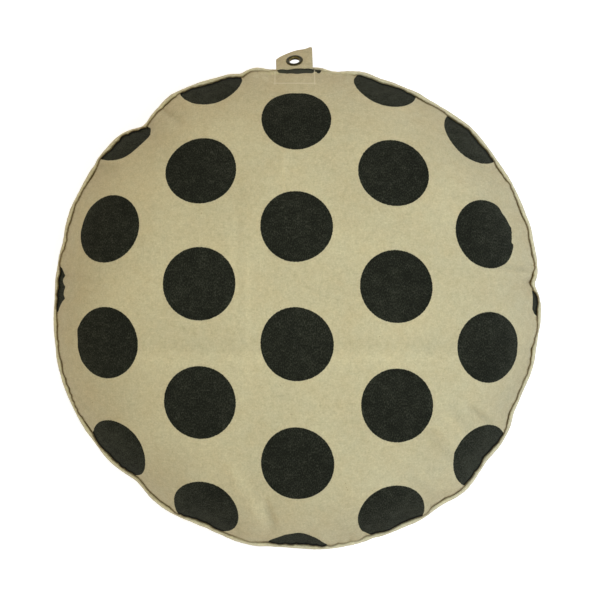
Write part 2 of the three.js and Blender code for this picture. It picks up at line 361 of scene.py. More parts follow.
def folding(angle, away, up):
    """Every fold's push: a bell across it times a bell along it, from the seam inwards."""
    total = 0
    for at, push, spread, run_up, run_down in FOLDS + FINE_FOLDS:
        run = run_up if up > 0 else run_down
        total = total + push * bell(turn(at, angle) / spread) * bell(away / run)
    return total


def puckering(angle, away):
    """Even waves round the rim that rise from the seam and fade inwards."""
    waves = sum(height * np.cos(np.radians(count * (angle - at))) for count, height, at in PUCKERS)
    return waves * crest(away / PUCKER_REACH)


def gathering(angle, away, up):
    """Pinched gathers: rounded ridges between sharp valleys, unevenly spaced, none on the seam."""
    mean, chance = GATHER_STRENGTH
    total = 0
    for k, (count, height, at) in enumerate(GATHERS):
        seed = 10 * k + (0 if up > 0 else 5)
        place = count / 2 * angle / 180 * np.pi + GATHER_STRAY * ripple(angle, 3, 20, seed + 1)
        ridge = np.abs(np.sin(place)) ** 0.8 - GATHER_LEVEL
        strength = np.clip(mean + chance * ripple(angle, 2, 25, seed + 2), 0.1, 1.6)
        total = total + height * strength * ridge * crest(away / at)
    return total


def puffing(angle, away, up):
    """The overhang: a bump that starts flat at the seam, less the nips. Below, it is slighter."""
    push = PUFF + PUFF_CHANCE * ripple(angle, 12, 60, 31)
    for at, more, spread in PUFF_PLACES:
        push = push + more * bell(turn(at, angle) / spread)
    x = (away / PUFF_AT) ** 4
    total = np.maximum(push, 0) * x * np.exp(1 - x) * (1 if up > 0 else PUFF_BELOW)
    for at, depth, spread, reach in NIPS:
        total = total - depth * np.exp(-np.abs(turn(at, angle)) / spread) * crest(away / reach)
    return total


def beside_line(x, y, line):
    """A place's share of the way along a line, and how far it lies to the left of the line."""
    x0, y0, x1, y1 = line
    length = math.hypot(x1 - x0, y1 - y0)
    along = ((x - x0) * (x1 - x0) + (y - y0) * (y1 - y0)) / length**2
    aside = ((y - y0) * (x1 - x0) - (x - x0) * (y1 - y0)) / length
    return along, aside


def eased(along):
    """1 along the middle of a line, easing to 0 at both ends."""
    return smooth(4 * along) * smooth(4 * (1 - along))


def creasing(x, y):
    """Every crease's push: a bell across its line, easing out at both ends."""
    total = 0
    for *line, height, half in CREASES:
        along, aside = beside_line(x, y, line)
        total = total + height * bell(aside / half) * eased(along)
    return total


CROWN = Panel(0, CROWN_RISE, CROWN_FULLNESS, 1, CROWN_SLACK)
SIDE = Panel(FLAT_RADIUS, SEAM_HEIGHT, SIDE_FULLNESS, -1, SIDE_SLACK)


def fold_shade(x, y):
    """How much painted shade the storage folds put on the cloth at a place seen from above; below 0 it
    is painted light.
    """
    total = 0
    for *line, half, sides, middle in SHADED_FOLDS:
        along, aside = beside_line(x, y, line)
        aside = aside / half
        tone = sides * aside * np.exp((1 - aside**2) / 2) + middle * bell(aside)
        total = total + tone * eased(along)
    return total


def mesh_piece(name, points, faces, material, corner_uv=None, values=None):
    """A smooth mesh object at the origin from points in millimetres."""
    mesh = bpy.data.meshes.new(name)
    mesh.from_pydata((points * MM).tolist(), [], faces)
    if corner_uv is not None:
        layer = mesh.uv_layers.new(name="cloth")
        layer.data.foreach_set("uv", np.asarray(corner_uv, np.float32).ravel())
    for key, value in (values or {}).items():
        attribute = mesh.attributes.new(key, "FLOAT", "POINT")
        attribute.data.foreach_set("value", np.asarray(value, np.float32).ravel())
    mesh.shade_smooth()
    mesh.materials.append(material)
    mesh.update()
    piece = bpy.data.objects.new(name, mesh)
    bpy.context.scene.collection.objects.link(piece)
    return piece


# Shader trees

# Lengths on the cloth are in metres and a noise's scale is a count per metre. A piece's own values,
# such as its distance from the seam, are in millimetres.


class Tree:
    """Adds nodes to a shader tree and links them by their values."""

    def __init__(self, tree):
        self.tree = tree
        self.count = 0

    def add(self, kind, **settings):
        node = self.tree.nodes.new(kind)
        for key, value in settings.items():
            setattr(node, key, value)
        node.location = (180 * (self.count % 12), -220 * (self.count // 12))
        self.count += 1
        return node

    def feed(self, socket, value):
        if isinstance(value, bpy.types.NodeSocket):
            self.tree.links.new(value, socket)
        elif value is not None:
            socket.default_value = value

    def math(self, operation, *values):
        node = self.add("ShaderNodeMath", operation=operation)
        for socket, value in zip(node.inputs, values):
            self.feed(socket, value)
        return node.outputs[0]

    def times(self, first, second):
        return self.math("MULTIPLY", first, second)

    def plus(self, first, second):
        return self.math("ADD", first, second)

    def less(self, first, second):
        return self.math("SUBTRACT", first, second)

    def over(self, first, second):
        return self.math("DIVIDE", first, second)

    def added(self, value, share, more):
        """A value times a share, plus more."""
        return self.math("MULTIPLY_ADD", value, share, more)

    def vector(self, operation, *values):
        node = self.add("ShaderNodeVectorMath", operation=operation)
        for socket, value in zip(node.inputs, values):
            self.feed(socket, value)
        return node.outputs[0]

    def range(self, value, low, high, to_low=0.0, to_high=1.0, kind="SMOOTHSTEP"):
        node = self.add("ShaderNodeMapRange", interpolation_type=kind, clamp=True)
        for key, item in zip(range(5), (value, low, high, to_low, to_high)):
            self.feed(node.inputs[key], item)
        return node.outputs[0]

    def split(self, vector):
        node = self.add("ShaderNodeSeparateXYZ")
        self.feed(node.inputs[0], vector)
        return node.outputs

    def join(self, x, y, z=0.0):
        node = self.add("ShaderNodeCombineXYZ")
        for socket, value in zip(node.inputs, (x, y, z)):
            self.feed(socket, value)
        return node.outputs[0]

    def noise(self, vector, scale, detail=2.0, roughness=0.5, distortion=0.0):
        node = self.add("ShaderNodeTexNoise")
        self.feed(node.inputs["Vector"], vector)
        self.feed(node.inputs["Scale"], scale)
        self.feed(node.inputs["Detail"], detail)
        self.feed(node.inputs["Roughness"], roughness)
        self.feed(node.inputs["Distortion"], distortion)
        return node.outputs["Fac"]

    def swing(self, vector, scale, detail=2.0, roughness=0.6):
        """Noise about 0."""
        return self.less(self.noise(vector, scale, detail, roughness), 0.5)

    def stretched(self, vector, scales, detail=2.0, roughness=0.5):
        """Noise of its own scale along X and along Y."""
        return self.noise(self.vector("MULTIPLY", vector, (*scales, 0.0)), 1.0, detail, roughness)

    def mix(self, share, first, second, blend="MIX"):
        node = self.add("ShaderNodeMix", data_type="RGBA", blend_type=blend)
        self.feed(node.inputs["Factor"], share)
        self.feed(node.inputs[6], first)
        self.feed(node.inputs[7], second)
        return node.outputs[2]

    def shaded(self, base, shade):
        """A colour times a grey share."""
        return self.mix(1.0, base, self.join(shade, shade, shade), "MULTIPLY")

    def attribute(self, name):
        return self.add("ShaderNodeAttribute", attribute_name=name).outputs["Fac"]

    def flat_cloth(self):
        """A point's place on the flat cloth."""
        return self.add("ShaderNodeUVMap", uv_map="cloth").outputs[0]

    def place(self, group, **values):
        node = self.add("ShaderNodeGroup", node_tree=group)
        for key, value in values.items():
            self.feed(node.inputs[key.replace("_", " ")], value)
        return node.outputs


def group(name, inputs, outputs):
    """An empty shader group with its sockets, as the tree, its inputs and its outputs."""
    made = bpy.data.node_groups.new(name, "ShaderNodeTree")
    for key, kind, value in inputs:
        socket = made.interface.new_socket(key, in_out="INPUT", socket_type=kind)
        if value is not None:
            socket.default_value = value
    for key, kind in outputs:
        made.interface.new_socket(key, in_out="OUTPUT", socket_type=kind)
    tree = Tree(made)
    start = tree.add("NodeGroupInput")
    end = tree.add("NodeGroupOutput")
    return made, tree, start.outputs, end.inputs


VECTOR = "NodeSocketVector"
FLOAT = "NodeSocketFloat"


def weave_group():
    """Plain weave: two crossing sets of threads, over and under in turn, with uneven threads."""
    made, tree, given, out = group(
        "plain weave",
        [("Cloth", VECTOR, None), ("Thread", FLOAT, 0.0006)],
        [("Height", FLOAT), ("Slub", FLOAT)],
    )
    x, y, _ = tree.split(given["Cloth"])
    across = tree.times(tree.over(x, given["Thread"]), math.pi)
    along = tree.times(tree.over(y, given["Thread"]), math.pi)
    warp = tree.times(tree.math("SINE", across), tree.math("COSINE", along))
    weft = tree.times(tree.math("COSINE", across), tree.math("SINE", along))
    over = tree.math("MAXIMUM", tree.math("ABSOLUTE", warp), tree.math("ABSOLUTE", weft))
    slub_x = tree.stretched(given["Cloth"], (1100.0, 90.0))
    slub_y = tree.stretched(given["Cloth"], (90.0, 1100.0))
    slub = tree.times(tree.plus(slub_x, slub_y), 0.5)
    tree.feed(out["Slub"], slub)
    tree.feed(out["Height"], tree.plus(over, tree.times(slub, 1.4)))
    return made


def dots_group():
    """Round dots on staggered columns. The distance to the nearest dot's middle gives the ink."""
    made, tree, given, out = group(
        "polka dots",
        [
            ("Cloth", VECTOR, None),
            ("Column", FLOAT, 0.12),
            ("Pitch", FLOAT, 0.15),
            ("Radius", FLOAT, 0.045),
            ("Wobble", FLOAT, 0.0004),
        ],
        [("Ink", FLOAT)],
    )
    x, y, _ = tree.split(given["Cloth"])
    column = tree.math("ROUND", tree.over(x, given["Column"]))
    off_x = tree.less(x, tree.times(column, given["Column"]))
    odd = tree.math("FLOORED_MODULO", column, 2.0)
    shifted = tree.less(tree.over(y, given["Pitch"]), tree.times(odd, 0.5))
    off_y = tree.times(tree.less(shifted, tree.math("ROUND", shifted)), given["Pitch"])
    away = tree.math("SQRT", tree.plus(tree.math("POWER", off_x, 2.0), tree.math("POWER", off_y, 2.0)))
    rough = tree.swing(given["Cloth"], 420.0, 3.0)
    edge = tree.plus(away, tree.times(rough, tree.times(given["Wobble"], 4.0)))
    inside = tree.less(given["Radius"], edge)
    tree.feed(out["Ink"], tree.range(inside, -0.0003, 0.0003))
    return made


def flecks_group():
    """Sparse specks: a small disc at the middle of a few cells of a chance division."""
    made, tree, given, out = group(
        "flecks",
        [("Cloth", VECTOR, None), ("Scale", FLOAT, 60.0), ("Size", FLOAT, 0.05), ("Share", FLOAT, 0.3)],
        [("Speck", FLOAT)],
    )
    cells = tree.add("ShaderNodeTexVoronoi", feature="F1")
    tree.feed(cells.inputs["Vector"], given["Cloth"])
    tree.feed(cells.inputs["Scale"], given["Scale"])
    near = tree.math("LESS_THAN", cells.outputs["Distance"], given["Size"])
    chance = tree.split(cells.outputs["Color"])[0]
    tree.feed(out["Speck"], tree.times(near, tree.math("LESS_THAN", chance, given["Share"])))
    return made


def fibres_group():
    """Short worn fibres: the edges of a warped chance division, kept in places only."""
    made, tree, given, out = group(
        "worn fibres",
        [("Cloth", VECTOR, None), ("Scale", FLOAT, 190.0), ("Width", FLOAT, 0.09)],
        [("Fibre", FLOAT)],
    )
    warp = tree.add("ShaderNodeTexNoise")
    tree.feed(warp.inputs["Vector"], given["Cloth"])
    tree.feed(warp.inputs["Scale"], 160.0)
    bend = tree.vector("MULTIPLY", warp.outputs["Color"], (0.009, 0.009, 0.0))
    cells = tree.add("ShaderNodeTexVoronoi", feature="DISTANCE_TO_EDGE")
    tree.feed(cells.inputs["Vector"], tree.vector("ADD", given["Cloth"], bend))
    tree.feed(cells.inputs["Scale"], given["Scale"])
    line = tree.range(cells.outputs["Distance"], 0.0, given["Width"], 1.0, 0.0)
    kept = tree.range(tree.noise(given["Cloth"], 120.0, 3.0, 0.6), 0.48, 0.62)
    tree.feed(out["Fibre"], tree.times(line, kept))
    return made


def frame_group():
    """Three thin lines on the crown: the left, right and lower edges of the tab's sewn-in end."""
    made, tree, given, out = group(
        "pressed frame",
        [
            ("Place", VECTOR, None),
            ("Left", FLOAT, -0.0288),
            ("Right", FLOAT, 0.0197),
            ("Low", FLOAT, 0.2742),
            ("Width", FLOAT, 0.0012),
        ],
        [("Line", FLOAT)],
    )
    x, y, z = tree.split(given["Place"])
    lines = []
    for value, at in ((x, "Left"), (x, "Right"), (y, "Low")):
        aside = tree.math("ABSOLUTE", tree.less(value, given[at]))
        lines.append(tree.range(aside, 0.0, given["Width"], 1.0, 0.0))
    soft = tree.times(given["Width"], 1.5)
    inside = tree.math("GREATER_THAN", y, tree.less(given["Low"], soft))
    between = tree.math("LESS_THAN", x, tree.plus(given["Right"], soft))
    beyond = tree.math("GREATER_THAN", x, tree.less(given["Left"], soft))
    any_line = tree.math("MAXIMUM", tree.math("MAXIMUM", lines[0], lines[1]), lines[2])
    within = tree.times(inside, tree.times(between, beyond))
    crown = tree.math("GREATER_THAN", z, SEAM_HEIGHT * MM)
    tree.feed(out["Line"], tree.times(any_line, tree.times(within, crown)))
    return made


def material(name):
    """A new material as its tree and its Principled shader."""
    made = bpy.data.materials.new(name)
    made.use_nodes = True
    made.node_tree.nodes.clear()
    tree = Tree(made.node_tree)
    shader = tree.add("ShaderNodeBsdfPrincipled")
    output = tree.add("ShaderNodeOutputMaterial")
    tree.feed(output.inputs["Surface"], shader.outputs["BSDF"])
    return made, tree, shader


def colour(red, green, blue):
    """An sRGB colour of 0 to 255 as linear values."""
    share = np.array([red, green, blue]) / 255
    linear = np.where(share <= 0.04045, share / 12.92, ((share + 0.055) / 1.055) ** 2.4)
    return (*linear.tolist(), 1.0)


WEAVE = weave_group()
DOTS = dots_group()
FLECKS = flecks_group()
FIBRES = fibres_group()
FRAME = frame_group()

BEIGE = colour(196, 189, 153)
BEIGE_WARM = colour(187, 175, 137)
INK = colour(27, 29, 23)
INK_WORN = colour(63, 65, 54)
# Ink in painted shade where the cover turns under at its edge
INK_IN_SHADE = colour(13, 14, 10)
# Soil and painted shade in the crevice along the seam
SEAM_SOIL_AND_SHADE = colour(98, 78, 38)
CREAM = colour(214, 206, 172)
TAB_CREAM = colour(197, 186, 149)
FLECK = colour(120, 104, 72)
PATINA = colour(44, 42, 17)
RUBBED_BRASS = colour(128, 112, 62)

# How much a fold's painted shade of 1 darkens the cloth, and how plainly the flecks and the frame show
FOLD_SHADE = 0.045
FLECK_SHARE = 0.6
FRAME_SHARE = 0.65

# Where the looks beside the seam fade, in millimetres: wear and painted sheen of the ink along the seam,
# ink rubbed by the tab, painted shade of the ink at the edge, soil and painted shade at the edge, soil
# and painted shade along the seam, soil and painted crevice shade on the piping
INK_SHEEN_AND_WEAR_FADE = (20.0, 120.0)
RUB_FADE = (3.0, 10.0)
INK_SHADE_FADE = (0.5, 3.6)
EDGE_DARKENING_FADE = (-0.4, 2.2)
SEAM_DARKENING_FADE = (1.0, 5.0)
PIPING_DARKENING_FADE = (0.4, 3.2)

# The dots on the flat cloth: columns, pitch in a column, radius, the place of one and the turn of all
DOT_COLUMN = 123.2
DOT_PITCH = 147.9
DOT_RADIUS = 45.7
DOT_ORIGIN = (-0.9, -44.4)
DOT_TURN = 0.76


def canvas_bump(tree, shader, cloth, strength):
    """The weave as a fine bump."""
    bump = tree.add("ShaderNodeBump")
    bump.inputs["Strength"].default_value = strength
    bump.inputs["Distance"].default_value = 0.00025
    tree.feed(bump.inputs["Height"], tree.place(WEAVE, Cloth=cloth)["Height"])
    tree.feed(shader.inputs["Normal"], bump.outputs[0])
    shader.inputs["Roughness"].default_value = 0.95
    shader.inputs["Specular IOR Level"].default_value = 0.02


def washed(tree, cloth, first, second):
    """Washed cloth: soft patches of two colours and a fine uneven grain."""
    patches = tree.noise(cloth, 22.0, 6.0, 0.75)
    base = tree.mix(tree.range(patches, 0.2, 0.8), first, second)
    fine = tree.noise(cloth, 430.0, 4.0, 0.8)
    blots = tree.noise(cloth, 140.0, 3.0, 0.7, 0.8)
    warp = tree.stretched(cloth, (560.0, 120.0), 2.0, 0.6)
    weft = tree.stretched(cloth, (120.0, 560.0), 2.0, 0.6)
    threads = tree.times(tree.plus(warp, weft), 0.11)
    uneven = tree.added(fine, 0.52, tree.times(blots, 0.26))
    broad = tree.swing(cloth, 11.0)
    grain = tree.added(broad, 0.2, tree.plus(uneven, threads))
    shade = tree.range(grain, 0.3, 0.7, 0.69, 1.25, "LINEAR")
    return tree.shaded(base, shade)


def printed_canvas():
    """Washed canvas with its dots, flecks, worn ink with painted sheen near the seam, folds with painted
    shade and light, ink in painted shade at the edge, pressed frame, and seam soil with painted shade.
    """
    made, tree, shader = material("printed_canvas")
    cloth = tree.flat_cloth()
    turned = tree.add("ShaderNodeVectorRotate", rotation_type="Z_AXIS")
    tree.feed(turned.inputs["Vector"], cloth)
    tree.feed(turned.inputs["Angle"], math.radians(DOT_TURN))
    moved = tree.vector("SUBTRACT", turned.outputs[0], (DOT_ORIGIN[0] * MM, DOT_ORIGIN[1] * MM, 0.0))
    ink = tree.place(
        DOTS, Cloth=moved, Column=DOT_COLUMN * MM, Pitch=DOT_PITCH * MM, Radius=DOT_RADIUS * MM
    )["Ink"]
    base = washed(tree, cloth, BEIGE, BEIGE_WARM)
    speck = tree.place(FLECKS, Cloth=cloth, Scale=90.0, Size=0.055, Share=0.25)["Speck"]
    base = tree.mix(tree.times(speck, FLECK_SHARE), base, FLECK)
    seam = tree.attribute("from_seam")
    threads = tree.stretched(cloth, (760.0, 420.0), 3.0, 0.75)
    worn = tree.added(tree.swing(cloth, 70.0, 5.0, 0.75), 0.3, threads)
    fibre = tree.place(FIBRES, Cloth=cloth)["Fibre"]
    worn = tree.added(fibre, 0.12, worn)
    broad = tree.swing(cloth, 14.0)
    worn = tree.added(broad, 0.16, worn)
    # Lighter ink near the seam: painted sheen of the grazing rim, with some wear
    worn = tree.plus(worn, tree.range(seam, *INK_SHEEN_AND_WEAR_FADE, 0.12, 0.0))
    edge = tree.attribute("from_edge")
    rubbed = tree.attribute("rubbed")
    worn = tree.added(rubbed, tree.range(edge, *RUB_FADE, 0.5, 0.0), worn)
    printed = tree.mix(tree.range(worn, 0.42, 0.8), INK, INK_WORN)
    # Painted shade: the ink darkens towards the cover's edge, less where the tab rubbed it
    deep = tree.times(tree.range(edge, *INK_SHADE_FADE, 0.85, 0.0), tree.less(1.0, rubbed))
    printed = tree.mix(deep, printed, INK_IN_SHADE)
    whole = tree.mix(ink, base, printed)
    # Painted shade and light of the storage folds, with some toning of the cloth
    tone = tree.attribute("fold_shade")
    shade = tree.added(tone, -FOLD_SHADE, 1.0)
    whole = tree.shaded(whole, shade)
    place = tree.add("ShaderNodeTexCoord").outputs["Object"]
    frame_line = tree.place(FRAME, Place=place)["Line"]
    whole = tree.mix(tree.times(frame_line, FRAME_SHARE), whole, CREAM)
    # Soil and painted shade: darker at the cover's edge, where it turns under towards the piping, and
    # along the seam; fainter at some places round the rim
    uneven = tree.times(tree.swing(cloth, 330.0), 3.0)
    at_edge = tree.range(tree.plus(edge, uneven), *EDGE_DARKENING_FADE, 0.75, 0.0)
    soil_and_shade = tree.math("MAXIMUM", tree.range(seam, *SEAM_DARKENING_FADE, 0.9, 0.0), at_edge)
    seam_strength = tree.attribute("soil_and_shade")
    soil_and_shade = tree.times(soil_and_shade, seam_strength)
    tree.feed(shader.inputs["Base Color"], tree.mix(soil_and_shade, whole, tree.mix(ink, SEAM_SOIL_AND_SHADE, INK_IN_SHADE)))
    canvas_bump(tree, shader, cloth, 0.35)
    return made


def plain_canvas(name, tint):
    """Undyed canvas with soil and painted crevice shade where a piece has a value for its distance from
    the cover, and painted shade where it has a value for its creases.
    """
    made, tree, shader = material(name)
    cloth = tree.flat_cloth()
    dark = tuple(0.86 * part for part in tint[:3]) + (1.0,)
    base = washed(tree, cloth, tint, dark)
    # Soil and painted crevice shade on the piping beside the cover, fainter at some places round the rim
    beside = tree.attribute("from_cover")
    uneven = tree.times(tree.swing(cloth, 260.0), 2.0)
    soil_and_shade = tree.range(tree.plus(beside, uneven), *PIPING_DARKENING_FADE, 0.95, 0.0)
    seam_strength = tree.attribute("soil_and_shade")
    soil_and_shade = tree.times(soil_and_shade, seam_strength)
    # Painted shade along the tab's creases, fold and edges; the piping has none
    tone = tree.attribute("crease")
    shade = tree.less(1.0, tone)
    base = tree.shaded(base, shade)
    tree.feed(shader.inputs["Base Color"], tree.mix(soil_and_shade, base, SEAM_SOIL_AND_SHADE))
    canvas_bump(tree, shader, cloth, 0.4)
    return made


def old_brass():
    """Dark patina, rubbed to dull brass where a ring has a value for its wear."""
    made, tree, shader = material("old_brass")
    place = tree.add("ShaderNodeTexCoord").outputs["Object"]
    tarnish = tree.noise(place, 450.0, 4.0, 0.6)
    wear = tree.attribute("wear")
    share = tree.range(tree.added(wear, 0.5, tarnish), 0.5, 0.85)
    tree.feed(shader.inputs["Base Color"], tree.mix(share, PATINA, RUBBED_BRASS))
    shader.inputs["Metallic"].default_value = 0.7
    tree.feed(shader.inputs["Roughness"], tree.range(share, 0.0, 1.0, 0.42, 0.55))
    return made


def pale_floor():
    """A matt white floor that glows a little, so that it renders as plain white."""
    made, _, shader = material("pale_floor")
    shader.inputs["Base Color"].default_value = (0.6, 0.6, 0.6, 1)
    shader.inputs["Roughness"].default_value = 0.9
    shader.inputs["Emission Color"].default_value = (1, 1, 1, 1)
    shader.inputs["Emission Strength"].default_value = 0.72
    return made


PRINTED = printed_canvas()
PIPING_CANVAS = plain_canvas("piping_canvas", CREAM)
TAB_CANVAS = plain_canvas("tab_canvas", TAB_CREAM)
BRASS = old_brass()

# The cover

# Rings of each panel: spacing at the seam, its growth with the distance from there, widest spacing
CROWN_RINGS = (1.0, 0.05, 3.5)
SIDE_RINGS = (1.2, 0.08, 10)
# Rings have all their points this near the seam, half of them past the next radius and a quarter of
# them past the last one.
CROWN_FINE = 45
SIDE_FINE = 22
HALF_PAST = 100
QUARTER_PAST = 45
# Stands for a place that is nowhere near the cover's edge
FAR_FROM_EDGE = 99.0


def ring_lengths(panel, first, growth, widest):
    """Lengths from the pole for the rings of a panel, closest together at the seam."""
    away = [0.0]
    while away[-1] < panel.length - 1.2 * widest:
        away.append(away[-1] + min(first + growth * away[-1], widest))
    return panel.length - np.array(away[::-1])


def ring_count(length, panel, fine_reach):
    """How many points a ring has: fewer where it is small or far from the seam."""
    if panel.length - length < fine_reach:
        return ROUND_STEPS
    if length > HALF_PAST:
        return ROUND_STEPS // 2
    return ROUND_STEPS // 4 if length > QUARTER_PAST else ROUND_STEPS // 8


def join_rings(start_a, count_a, start_b, count_b):
    """Faces between two rings. Where one has twice the points of the other they are pentagons."""
    count = min(count_a, count_b)
    j = np.arange(count)
    k = (j + 1) % count
    step_a = count_a // count
    step_b = count_b // count
    corners = [start_a + step_a * j, start_b + step_b * j]
    if step_b == 2:
        corners.append(corners[-1] + 1)
    corners += [start_b + step_b * k, start_a + step_a * k]
    if step_a == 2:
        corners.append(corners[0] + 1)
    return np.stack(corners, -1)


# The cloth before it is gathered is a little longer than the arc, less so at its edge. It drifts
# sideways on the crown: millimetres for y, x squared, xy and y squared at 350 mm from the middle.
CLOTH_EASE = 1.031
EDGE_EASE = -0.049
DRIFT_AT = 350
DRIFT_ACROSS = (6, -4, 11.3, 1.6)
DRIFT_ALONG = (0, 6, -1.8, 16.6)
# Where the lower panel's middle lies on its own cloth
LOWER_PRINT_SHIFT = (31, 57)

# Where the cloth is drawn aside near the crown's edge: angle, slip outward, slip sideways, half
# angle, how steeply the slip grows with the distance from the middle
SLIPS = (
    (92, 10.5, 0, 5, 6),
    (90.2, 19, 0, 1.7, 12),
    (95.3, 8, 0, 1.2, 16),
    (86.8, 13, 0, 1.2, 16),
    (84.8, 34, 0, 0.9, 16),
    (97.8, -7, 0, 1.5, 16),
    (14.5, 9, 0, 3, 6),
    (6.2, -30, 0, 2.5, 16),
    (0.5, 8, 0, 2, 16),
    (178, 1, 0, 4, 6),
    (173.6, -14.5, 0, 2.6, 12),
    (172.2, 5, 0, 0.6, 12),
    (175, 4, 0, 0.7, 12),
    (177.6, 8, 0, 0.8, 12),
    (188, -10, 0, 5, 6),
    (270.3, 10, 0, 1.6, 12),
    (69, 0, 15, 8, 6),
    (45, -0.6, 4, 8, 6),
    (135, -2, -15, 8, 6),
)

# Where the print has strayed on the crown: x, y, half width, half height, how far to the left
STRAYS = ((0, 0, 45, 260, 2.9), (-122, 30, 45, 45, -3.8), (120, -120, 45, 45, -1.3))

# Tucks that hide a little cloth. One runs inward from the seam: angle, cloth hidden, half angle and
# run. Others lie across, each along a line of angles and plan radii, with the cloth hidden.
PINCH_TUCK = (130.4, 6, 4, 40)
LEVEL_TUCKS = (
    (((16.2, 268), (20.5, 276), (28, 271.5)), 6),
    (((183.5, 268), (188, 269), (196, 273.5)), 7),
)


def cloth_spot(angle, length, panel):
    """Where a point of the cover lies on the flat cloth, in metres."""
    share = length / DRIFT_AT
    flat = length * (CLOTH_EASE + EDGE_EASE * share**6) + 0 * angle
    aside = 0 * angle
    if panel.up > 0:
        for at, outward, sideways, spread, steep in SLIPS:
            near = share**steep * bell(turn(at, angle) / spread)
            flat = flat + outward * near
            aside = aside + sideways * near
        at, hidden, spread, run = PINCH_TUCK
        past = turn(angle, at)
        fade = np.exp(-np.abs(past) / spread) * bell((panel.length - length) / run)
        aside = aside - hidden * fade * (past > 0)
        radius = panel.plain_radius(length)
        for line, hidden in LEVEL_TUCKS:
            angles, radii = np.array(line).T
            within = smooth(turn(angles[0], angle)) * smooth(turn(angle, angles[-1]) / 3)
            at = np.interp(angle, angles, radii)
            flat = flat + hidden * within * smooth((radius - at) / 2 + 0.5)
    out = np.stack([np.cos(np.radians(angle)), np.sin(np.radians(angle))], -1)
    across = np.stack([-out[..., 1], out[..., 0]], -1)
    spot = out * flat[..., None] + across * aside[..., None]
    if panel.up < 0:
        return (spot + np.array(LOWER_PRINT_SHIFT)) * MM
    for x, y, half_x, half_y, left in STRAYS:
        near = bell((spot[..., 0] - x) / half_x) * bell((spot[..., 1] - y) / half_y)
        spot[..., 0] = spot[..., 0] + left * near
    x, y = spot[..., 0] / DRIFT_AT, spot[..., 1] / DRIFT_AT
    terms = np.stack([y, x * x, x * y, y * y], -1)
    return (spot + terms @ np.array([DRIFT_ACROSS, DRIFT_ALONG]).T) * MM


def make_cushion():
    """The cover: rings of points from the crown's middle over the seam to the underside's."""
    angle = np.arange(ROUND_STEPS) * 360 / ROUND_STEPS
    here, outward = seam_line(angle)
    reach = cover_reach(angle)
    points = []
    spots = [[], []]
    away = []
    from_edge = []
    counts = []
    for panel, lengths, fine in (
        (CROWN, ring_lengths(CROWN, *CROWN_RINGS), CROWN_FINE),
        (SIDE, ring_lengths(SIDE, *SIDE_RINGS)[::-1][1:], SIDE_FINE),
    ):
        grid = panel.points(angle[None, :], lengths[:, None])
        for row, length in zip(grid, lengths):
            step = ROUND_STEPS // ring_count(length, panel, fine)
            points.append(row[::step])
            counts.append(len(row[::step]))
            away.append(np.full(counts[-1], panel.length - length))
            inset = (reach - ((row - here) * outward).sum(-1))[::step]
            from_edge.append(inset if panel is CROWN else np.full(counts[-1], FAR_FROM_EDGE))
            for k, side in enumerate((CROWN, SIDE)):
                own = length if side is panel else side.length
                spots[k].append(cloth_spot(angle[::step], own, side))
        if panel is CROWN:
            seam_ring = len(counts) - 1
    starts = np.concatenate([[0], np.cumsum(counts)])
    top = starts[-1]
    bottom = top + 1
    faces = [[top, j, (j + 1) % counts[0]] for j in range(counts[0])]
    upper = [True] * counts[0]
    for k in range(len(counts) - 1):
        made = join_rings(starts[k], counts[k], starts[k + 1], counts[k + 1]).tolist()
        faces += made
        upper += [k < seam_ring] * len(made)
    last = starts[-2]
    faces += [[bottom, last + (j + 1) % counts[-1], last + j] for j in range(counts[-1])]
    upper += [False] * counts[-1]
    poles = [[0, 0, SEAM_HEIGHT + CROWN_RISE], [0, 0, 0]]
    points = np.concatenate(points + [poles])
    away = np.concatenate(away + [[CROWN.length, SIDE.length]])
    from_edge = np.concatenate(from_edge + [[FAR_FROM_EDGE] * 2])
    # Painted shade and light of the storage folds, on the crown only
    tone = fold_shade(points[:, 0], points[:, 1]) * (points[:, 2] > SEAM_HEIGHT)
    around = np.degrees(np.arctan2(points[:, 1], points[:, 0]))
    values = {"from_seam": away, "from_edge": from_edge, "fold_shade": tone}
    values.update({"soil_and_shade": seam_darkness(around), "rubbed": rubbing(around)})
    flat = [np.concatenate(rows + [np.zeros((2, 2))]) for rows in spots]
    flat[1][bottom] = np.array(LOWER_PRINT_SHIFT) * MM
    corners = np.concatenate(faces)
    sides = np.repeat(upper, [len(f) for f in faces])
    corner_uv = np.where(sides[:, None], flat[0][corners], flat[1][corners])
    return mesh_piece("dotted_cover", points, faces, PRINTED, corner_uv, values)


# The piping


def seam_line(angle):
    """The seam and the level direction that faces away from it."""
    step = 0.25
    length = np.full_like(angle, CROWN.length)
    here = CROWN.points(angle, length)
    along = CROWN.points(angle + step, length) - CROWN.points(angle - step, length)
    along[..., 2] = 0
    along /= np.linalg.norm(along, axis=-1, keepdims=True)
    outward = np.stack([along[..., 1], -along[..., 0], 0 * along[..., 0]], -1)
    return here, outward


def piping_centre(angle):
    """The seam moved outward by the gap and the piping's radius."""
    here, outward = seam_line(angle)
    return here + outward * (CLEARANCE + PIPING_RADIUS)


# Where the seam line's soil and painted shade is fainter: angle, share, half angle
FAINTER_SEAM = (
    (88, 0.2, 35),
    (275, 0.28, 45),
    (80, 0.75, 4.5),
    (97.5, 0.4, 3),
    (120, 0.15, 3),
    (257, 0.35, 3),
    (283.5, 0.35, 3),
    (303, 0.15, 2),
    (342, 0.15, 2),
)

# The tab has rubbed the print beside the seam: angle, half angle
RUBBED = (92, 5)


def rubbing(angle):
    """How much the tab has rubbed the print round the rim."""
    at, spread = RUBBED
    return bell(turn(at, angle) / spread)


def seam_darkness(angle):
    """How strong the seam line's soil and painted shade is round the rim: 1 less a bell at each fainter
    place.
    """
    return 1 - sum(share * bell(turn(at, angle) / spread) for at, share, spread in FAINTER_SEAM)


PIPING_SIDES = 32
PIPING_SCENE_RADIUS = 2.75
